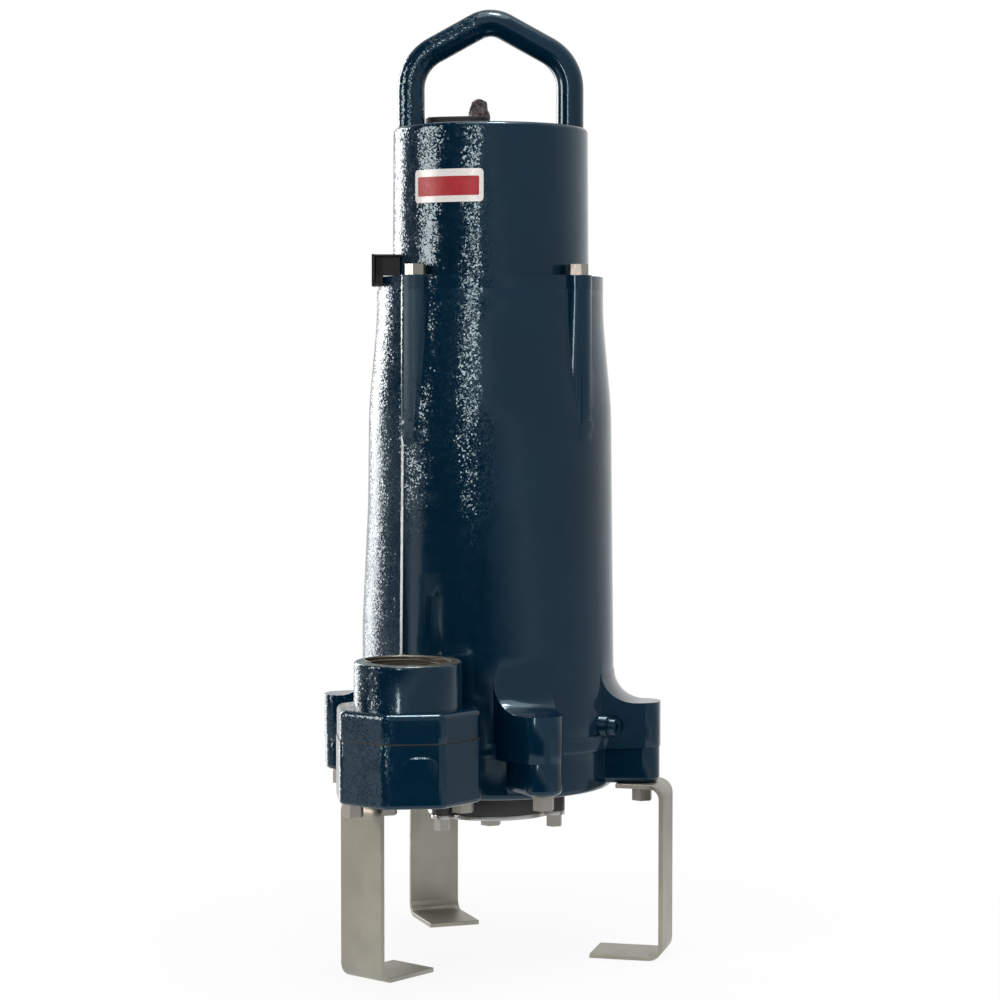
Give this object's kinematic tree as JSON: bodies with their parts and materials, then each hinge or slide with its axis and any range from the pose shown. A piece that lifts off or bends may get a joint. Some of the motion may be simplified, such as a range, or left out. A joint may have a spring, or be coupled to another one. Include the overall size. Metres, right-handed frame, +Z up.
{
  "type": "submersible centrifugal pump",
  "caption": "Upright submersible centrifugal grinder pump: tall round motor housing and cap with a bent lifting bail, side discharge hub with pipe thread, slotted cutter inlet, strip legs.",
  "frame": {"origin": "point on the floor under the shaft axis, centre of the three feet", "axes": "+Z up along the shaft axis, towards the lifting bail; +X through the right leg, discharge towards -Y"},
  "size_m": [0.2504, 0.2948, 0.668],
  "materials": {
    "navy_enamel": "glossy dark navy enamel over cast iron",
    "leg_stainless": "satin stainless strip",
    "fastener_steel": "stainless fastener",
    "machined_steel": "machined steel",
    "black_ring": "black coated iron",
    "black_rubber": "matte rubber",
    "black_enamel": "semi-gloss black",
    "cast_zinc": "rough cast grey",
    "plate_white": "white plate with a plain red panel",
    "grey_iron": "bare grey iron",
    "copper_winding": "enamelled copper wire",
    "core_steel": "laminated steel",
    "moulded_black": "moulded black",
    "seal_ceramic": "seal ceramic and carbon"
  },
  "bodies": {
    "pump_body": {"cable_gland": "cast_zinc", "cap_bolts": "fastener_steel", "cap_o_ring": "black_rubber", "casing_bolts": "fastener_steel", "casing_o_ring": "black_rubber", "casing_washers": "fastener_steel", "cord_bracket": "black_enamel", "cutter_plate": "machined_steel", "cutter_plate_bolts": "fastener_steel", "discharge_bolts": "fastener_steel", "discharge_flange": "navy_enamel", "discharge_gasket": "black_rubber", "front_leg": "leg_stainless", "gland_grommet": "black_rubber", "inlet_cover": "black_enamel", "inlet_screws": "fastener_steel", "leg_bolts": "fastener_steel", "leg_washers": "fastener_steel", "lifting_handle": "navy_enamel", "lower_bearing_outer_race": "machined_steel", "lower_seal_seat": "seal_ceramic", "motor_housing": "navy_enamel", "name_plate": "plate_white", "oil_plug": "fastener_steel", "rear_leg": "leg_stainless", "right_leg": "leg_stainless", "seal_plate": "grey_iron", "start_capacitor": "moulded_black", "stator_core": "core_steel", "stator_windings": "copper_winding", "suction_ring": "black_ring", "terminal_block": "moulded_black", "top_cap": "navy_enamel", "upper_bearing_bracket": "grey_iron", "upper_bearing_outer_race": "machined_steel", "upper_seal_seat": "seal_ceramic", "volute_casing": "navy_enamel"},
    "rotor": {"shaft": "machined_steel", "impeller_key": "machined_steel", "impeller": "grey_iron", "rotary_cutter": "machined_steel", "cutter_screw": "fastener_steel", "cutter_washer": "fastener_steel", "rotor_core": "core_steel", "lower_bearing_inner_race": "machined_steel", "upper_bearing_inner_race": "machined_steel", "lower_seal_head": "seal_ceramic", "upper_seal_head": "seal_ceramic", "seal_spring": "machined_steel"},
    "lower_ball_set": {"lower_bearing_balls": "machined_steel", "lower_bearing_cage": "machined_steel"},
    "upper_ball_set": {"upper_bearing_balls": "machined_steel", "upper_bearing_cage": "machined_steel"}
  },
  "joints": [
    {"name": "rotor_spin", "type": "hinge", "parent": "pump_body", "child": "rotor", "pos_m": [0, 0, 0.3], "axis": [0, 0, 1], "continuous": true},
    {"name": "lower_ball_orbit", "type": "hinge", "parent": "pump_body", "child": "lower_ball_set", "pos_m": [0, 0, 0.2145], "axis": [0, 0, 1], "continuous": true},
    {"name": "upper_ball_orbit", "type": "hinge", "parent": "pump_body", "child": "upper_ball_set", "pos_m": [0, 0, 0.42], "axis": [0, 0, 1], "continuous": true}
  ],
  "couplings": [
    {"joint": "lower_ball_orbit", "follows": "rotor_spin", "ratio": 0.3962},
    {"joint": "upper_ball_orbit", "follows": "rotor_spin", "ratio": 0.3948}
  ]
}
